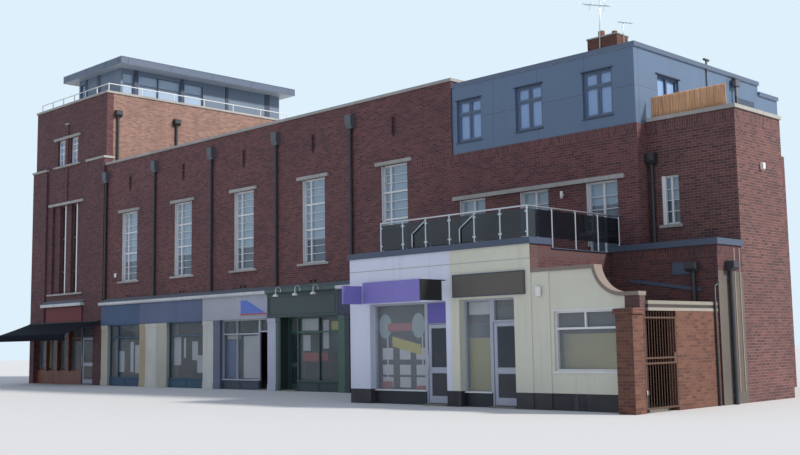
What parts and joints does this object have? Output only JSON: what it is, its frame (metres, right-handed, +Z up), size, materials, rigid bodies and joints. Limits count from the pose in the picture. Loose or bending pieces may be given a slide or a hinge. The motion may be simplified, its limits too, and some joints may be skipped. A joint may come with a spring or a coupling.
{
  "type": "corner shop building",
  "caption": "Brick corner shop building with a tower, a row of shopfronts, a glazed roof terrace and a curved wing wall.",
  "frame": {"origin": "middle of the whole building's footprint at pavement level", "axes": "-Y towards the street, +X to the right along the shopfronts, +Z up"},
  "size_m": [38.145, 16.16, 15.21],
  "materials": {
    "brick": "matt",
    "stone": "matt",
    "concrete": "matt",
    "render_cream": "matt",
    "white_paint": "satin",
    "blue_paint": "satin",
    "green_paint": "satin",
    "black_paint": "satin",
    "dark_frame": "satin",
    "zinc": "satin",
    "steel": "satin",
    "timber": "satin",
    "reed": "matt",
    "cloth": "matt",
    "clear_glass": "clear",
    "tinted_glass": "tinted",
    "sign_purple": "gloss",
    "yellow_brick": "matt"
  },
  "bodies": {
    "building": {"ground_floor": "concrete", "main_front_wall": "brick", "main_back_wall": "brick", "main_cross_walls": "brick", "floor_slabs": "concrete", "roof_slabs": "concrete", "copings": "stone", "lintels_and_sills": "stone", "upper_window_frames": "white_paint", "upper_glass": "clear_glass", "downpipes": "black_paint", "shop_piers": "white_paint", "shop_fascias": "blue_paint", "shop_cornice": "stone", "stall_risers": "blue_paint", "shop_frames": "white_paint", "door_heads": "white_paint", "door_frames": "white_paint", "ground_glass": "clear_glass", "tower_front_wall": "brick", "tower_side_walls": "brick", "tower_back_wall": "brick", "tower_shoulders": "brick", "cafe_front": "timber", "awning": "cloth", "awning_frame": "steel", "lookout_walls": "zinc", "lookout_roof": "zinc", "tower_rail": "white_paint", "penthouse_walls": "zinc", "penthouse_roof": "zinc", "penthouse_windows": "dark_frame", "stair_block_walls": "brick", "reed_screen": "reed", "low_block_walls": "brick", "extension_piers": "render_cream", "extension_side_walls": "brick", "extension_beam": "render_cream", "roof_trims": "zinc", "balustrade": "steel", "balustrade_glass": "tinted_glass", "wing_wall": "render_cream", "wing_coping": "brick", "yard_walls": "yellow_brick", "yard_roof": "concrete", "sign_boards": "sign_purple", "chimney": "stone"},
    "green_door": {"green_shop_door": "green_paint"},
    "west_door": {"west_shop_door": "white_paint"},
    "east_door": {"east_shop_door": "white_paint"},
    "cafe_door": {"cafe_door": "dark_frame"},
    "yard_gate": {"yard_gate": "black_paint"}
  },
  "joints": [
    {"name": "green_door_swing", "type": "hinge", "parent": "building", "child": "green_door", "pos_m": [0.9265, -2.801, 0.3], "axis": [0, 0, 1], "range_deg": [0, 90]},
    {"name": "west_door_swing", "type": "hinge", "parent": "building", "child": "west_door", "pos_m": [12.7285, -6.881, 0.3], "axis": [0, 0, -1], "range_deg": [0, 90]},
    {"name": "east_door_swing", "type": "hinge", "parent": "building", "child": "east_door", "pos_m": [14.2265, -6.881, 0.3], "axis": [0, 0, 1], "range_deg": [0, 90]},
    {"name": "cafe_door_swing", "type": "hinge", "parent": "building", "child": "cafe_door", "pos_m": [-12.9515, -2.811, 0.3], "axis": [0, 0, -1], "range_deg": [0, 90]},
    {"name": "yard_gate_swing", "type": "hinge", "parent": "building", "child": "yard_gate", "pos_m": [18.7815, -7.106, 0.35], "axis": [0, 0, -1], "range_deg": [0, 95]}
  ]
}
